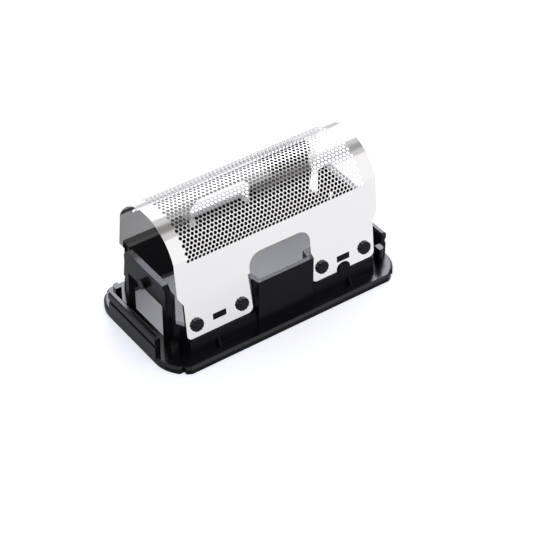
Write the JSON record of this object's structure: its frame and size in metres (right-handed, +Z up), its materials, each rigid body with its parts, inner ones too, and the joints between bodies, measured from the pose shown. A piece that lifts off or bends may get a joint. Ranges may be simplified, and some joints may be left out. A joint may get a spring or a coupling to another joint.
{
  "type": "shaver foil head",
  "caption": "Shaver foil head: thin perforated metal foil arched over a black moulded clip-on frame, open at both ends and underneath for the inner cutter.",
  "frame": {"origin": "centre of the underside of the frame's base plate, which is the bottom centre of the whole part", "axes": "+X along the length of the foil, +Z up through the top of the arch, the front long side faces -Y"},
  "size_m": [0.0598, 0.032, 0.0313],
  "materials": {
    "moulded_plastic": "semi-gloss black, moulded",
    "nickel_foil": "bright plain nickel, mirror smooth"
  },
  "bodies": {
    "root": {"frame": "moulded_plastic", "foil": "nickel_foil"}
  },
  "joints": []
}
